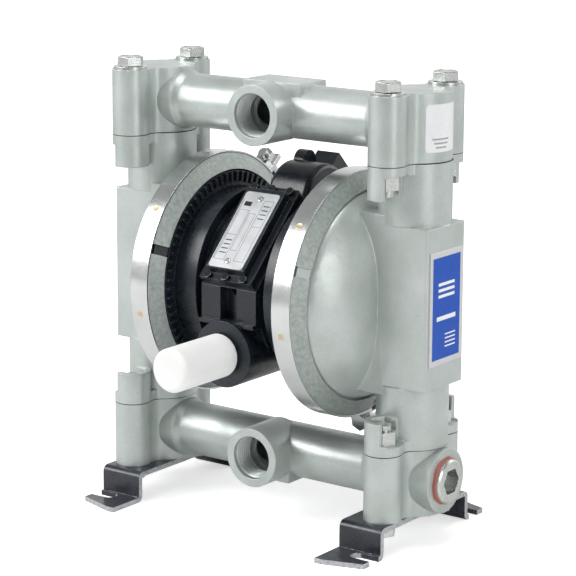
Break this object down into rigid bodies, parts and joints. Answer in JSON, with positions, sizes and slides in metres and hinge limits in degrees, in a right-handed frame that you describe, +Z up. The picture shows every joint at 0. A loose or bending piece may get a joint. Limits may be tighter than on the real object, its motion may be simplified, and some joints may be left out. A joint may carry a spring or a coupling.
{
  "type": "diaphragm_pump",
  "caption": "Air operated double diaphragm pump with cast aluminium fluid covers and manifolds, black centre section, strap clamps, steel feet and a white exhaust muffler",
  "frame": {"origin": "on the floor under the middle of the pump, on the plane of symmetry between the two diaphragms", "axes": "X along the diaphragm shaft to the right-hand end, -Y the front with the ports, the valve cover and the muffler, +Z up"},
  "size_m": [0.2376, 0.1842, 0.2749],
  "materials": {
    "cast_aluminium": "as-cast, pale grey, finely grained",
    "black_polymer": "moulded, satin black",
    "white_polymer": "porous moulded white",
    "label_blue": "printed foil, blank blue field in a silver frame",
    "stainless": "bright pressed strip",
    "zinc_steel": "zinc plated",
    "painted_steel": "dark blue-black paint",
    "black_rubber": "moulded matt rubber",
    "machined_steel": "turned and ground",
    "acetal": "moulded white acetal",
    "ball_rubber": "smooth moulded"
  },
  "bodies": {
    "pump_frame": {"outlet_manifold": "cast_aluminium", "inlet_manifold": "cast_aluminium", "fluid_cover_left": "cast_aluminium", "fluid_cover_right": "cast_aluminium", "centre_housing": "black_polymer", "air_cover_left": "black_polymer", "air_cover_right": "black_polymer", "valve_cover": "black_polymer", "muffler": "white_polymer", "side_label": "label_blue", "nameplate": "label_blue", "clamp_left": "stainless", "clamp_right": "stainless", "clamp_bolts": "stainless", "clamp_nuts": "stainless", "top_bolts": "zinc_steel", "top_washers": "zinc_steel", "bottom_bolts": "zinc_steel", "flange_nuts": "zinc_steel", "inlet_end_plug": "zinc_steel", "valve_cover_screws": "zinc_steel", "air_cover_screws": "zinc_steel", "nameplate_rivets": "zinc_steel", "foot_left": "painted_steel", "foot_right": "painted_steel", "diaphragm_left": "black_rubber", "diaphragm_right": "black_rubber", "air_cover_gaskets": "black_rubber", "valve_cover_gasket": "black_rubber", "shaft_seals": "black_rubber", "seat_rings": "black_rubber", "shaft_bearings": "acetal", "valve_plate": "acetal", "inlet_seats": "acetal", "outlet_seats": "acetal"},
    "shaft_group": {"diaphragm_shaft": "machined_steel", "air_side_plate_left": "machined_steel", "air_side_plate_right": "machined_steel", "fluid_side_plate_left": "machined_steel", "fluid_side_plate_right": "machined_steel", "diaphragm_bolts": "zinc_steel"},
    "valve_slide": {"valve_carriage": "acetal", "valve_cup": "acetal"},
    "piston_left": {"actuator_piston_left": "machined_steel"},
    "piston_right": {"actuator_piston_right": "machined_steel"},
    "pilot_slide": {"pilot_block": "acetal"},
    "pilot_left": {"pilot_pin_left": "machined_steel"},
    "pilot_right": {"pilot_pin_right": "machined_steel"},
    "inlet_ball_l": {"inlet_ball_left": "ball_rubber"},
    "inlet_ball_r": {"inlet_ball_right": "ball_rubber"},
    "outlet_ball_l": {"outlet_ball_left": "ball_rubber"},
    "outlet_ball_r": {"outlet_ball_right": "ball_rubber"}
  },
  "joints": [
    {"name": "shaft_slide", "type": "slide", "parent": "pump_frame", "child": "shaft_group", "axis": [1, 0, 0], "range_m": [-0.007, 0.007], "deforming": ["diaphragm_left", "diaphragm_right"]},
    {"name": "valve_slide_travel", "type": "slide", "parent": "pump_frame", "child": "valve_slide", "axis": [1, 0, 0], "range_m": [-0.005, 0.005]},
    {"name": "piston_left_travel", "type": "slide", "parent": "pump_frame", "child": "piston_left", "axis": [1, 0, 0], "range_m": [-0.005, 0.005]},
    {"name": "piston_right_travel", "type": "slide", "parent": "pump_frame", "child": "piston_right", "axis": [1, 0, 0], "range_m": [-0.005, 0.005]},
    {"name": "pilot_slide_travel", "type": "slide", "parent": "pump_frame", "child": "pilot_slide", "axis": [1, 0, 0], "range_m": [-0.0025, 0.0025]},
    {"name": "pilot_left_travel", "type": "slide", "parent": "pump_frame", "child": "pilot_left", "axis": [1, 0, 0], "range_m": [-0.0025, 0.0025]},
    {"name": "pilot_right_travel", "type": "slide", "parent": "pump_frame", "child": "pilot_right", "axis": [1, 0, 0], "range_m": [-0.0025, 0.0025]},
    {"name": "inlet_ball_left_lift", "type": "slide", "parent": "pump_frame", "child": "inlet_ball_l", "axis": [0, 0, 1], "range_m": [0, 0.005]},
    {"name": "inlet_ball_right_lift", "type": "slide", "parent": "pump_frame", "child": "inlet_ball_r", "axis": [0, 0, 1], "range_m": [0, 0.005]},
    {"name": "outlet_ball_left_lift", "type": "slide", "parent": "pump_frame", "child": "outlet_ball_l", "axis": [0, 0, 1], "range_m": [0, 0.005]},
    {"name": "outlet_ball_right_lift", "type": "slide", "parent": "pump_frame", "child": "outlet_ball_r", "axis": [0, 0, 1], "range_m": [0, 0.005]}
  ],
  "couplings": [
    {"joint": "piston_left_travel", "follows": "valve_slide_travel", "ratio": 1},
    {"joint": "piston_right_travel", "follows": "valve_slide_travel", "ratio": 1},
    {"joint": "pilot_slide_travel", "follows": "shaft_slide", "ratio": 0.35714},
    {"joint": "pilot_left_travel", "follows": "shaft_slide", "ratio": 0.35714},
    {"joint": "pilot_right_travel", "follows": "shaft_slide", "ratio": 0.35714}
  ]
}
